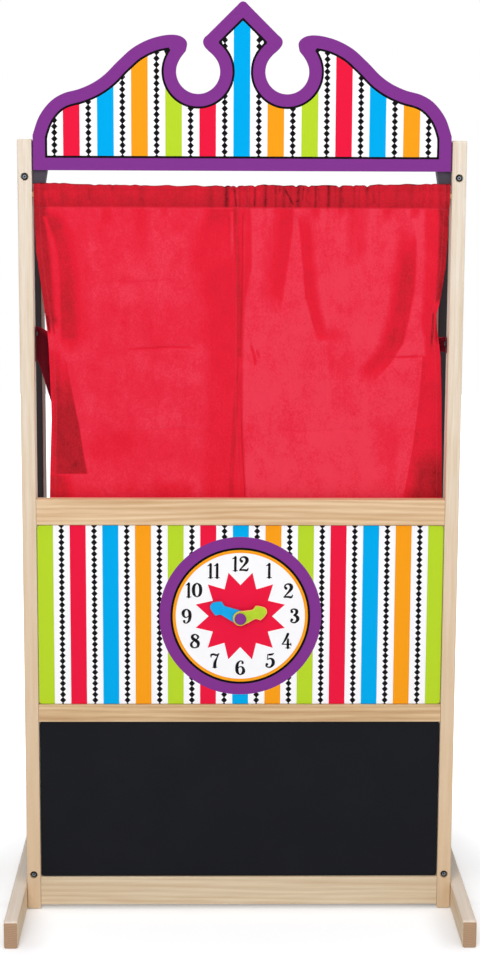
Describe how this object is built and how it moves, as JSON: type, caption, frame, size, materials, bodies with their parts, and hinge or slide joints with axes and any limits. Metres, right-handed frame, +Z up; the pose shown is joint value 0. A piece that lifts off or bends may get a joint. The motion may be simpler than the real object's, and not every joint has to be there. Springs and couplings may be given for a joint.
{
  "type": "puppet theater stand",
  "caption": "Free-standing wooden puppet theater with a scrolled striped pediment, a red curtain stage, a toy clock panel with turning hands and a chalkboard, on two feet",
  "frame": {"origin": "bottom centre: middle of the footprint of the two feet, on the floor", "axes": "+X to the right seen from the front, +Y to the back, +Z up"},
  "size_m": [0.8256, 0.45, 1.626],
  "materials": {
    "blue_plastic": "satin blue",
    "bolt_steel": "bright plated steel",
    "charcoal_paint": "wood painted charcoal",
    "curtain_cloth": "soft plain-woven red curtain cloth",
    "green_plastic": "satin green",
    "nylon": "white nylon",
    "pine": "pine with fine grain, clear sealed",
    "post_wood": "pale sealed wood",
    "printed_panel": "board printed with stripes and a dial",
    "printed_pediment": "board printed with a border and stripes",
    "purple_plastic": "satin purple",
    "rod_wood": "turned dowel",
    "slate_paint": "matt blackboard paint on board",
    "tie_back_cloth": "dark red cloth",
    "zinc": "zinc plated steel"
  },
  "bodies": {
    "stand": {"back_washer": "nylon", "bottom_rail": "pine", "chalkboard": "slate_paint", "chalkboard_lower_cleat": "pine", "chalkboard_upper_cleat": "pine", "clock_panel": "printed_panel", "clock_panel_lower_cleat": "pine", "clock_panel_upper_cleat": "pine", "clock_pivot": "zinc", "curtain_rod": "rod_wood", "hub_cap": "purple_plastic", "left_bottom_rail_nut": "zinc", "left_coach_screw": "bolt_steel", "left_foot": "pine", "left_foot_bolt": "bolt_steel", "left_lower_frame_bolt": "bolt_steel", "left_lower_frame_nut": "zinc", "left_lower_side_rail": "charcoal_paint", "left_middle_rail_bolt": "bolt_steel", "left_middle_rail_nut": "zinc", "left_pediment_block": "charcoal_paint", "left_post": "post_wood", "left_rear_upright": "charcoal_paint", "left_tie_back": "tie_back_cloth", "left_tie_back_screw": "zinc", "left_top_rail_bolt": "bolt_steel", "left_top_rail_nut": "zinc", "left_upper_frame_bolt": "bolt_steel", "left_upper_frame_nut": "zinc", "left_upper_side_rail": "charcoal_paint", "lock_nut": "zinc", "middle_rail": "pine", "middle_washer": "nylon", "pediment": "printed_pediment", "right_bottom_rail_nut": "zinc", "right_coach_screw": "bolt_steel", "right_foot": "pine", "right_foot_bolt": "bolt_steel", "right_lower_frame_bolt": "bolt_steel", "right_lower_frame_nut": "zinc", "right_lower_side_rail": "charcoal_paint", "right_middle_rail_bolt": "bolt_steel", "right_middle_rail_nut": "zinc", "right_pediment_block": "charcoal_paint", "right_post": "post_wood", "right_rear_upright": "charcoal_paint", "right_tie_back": "tie_back_cloth", "right_tie_back_screw": "zinc", "right_top_rail_bolt": "bolt_steel", "right_top_rail_nut": "zinc", "right_upper_frame_bolt": "bolt_steel", "right_upper_frame_nut": "zinc", "right_upper_side_rail": "charcoal_paint", "top_rail": "pine"},
    "minute_hand": {"minute_hand": "blue_plastic"},
    "hour_hand": {"hour_hand": "green_plastic"},
    "left_drape": {"left_curtain": "curtain_cloth"},
    "right_drape": {"right_curtain": "curtain_cloth"}
  },
  "joints": [
    {"name": "minute_hand_turn", "type": "hinge", "parent": "stand", "child": "minute_hand", "pos_m": [0, -0.051, 0.548], "axis": [0, 1, 0], "continuous": true},
    {"name": "hour_hand_turn", "type": "hinge", "parent": "stand", "child": "hour_hand", "pos_m": [0, -0.056, 0.548], "axis": [0, 1, 0], "continuous": true},
    {"name": "left_curtain_draw", "type": "slide", "parent": "stand", "child": "left_drape", "axis": [-1, 0, 0], "range_m": [0, 0.24], "deforming": ["left_curtain"]},
    {"name": "right_curtain_draw", "type": "slide", "parent": "stand", "child": "right_drape", "axis": [1, 0, 0], "range_m": [0, 0.24], "deforming": ["right_curtain"]}
  ]
}
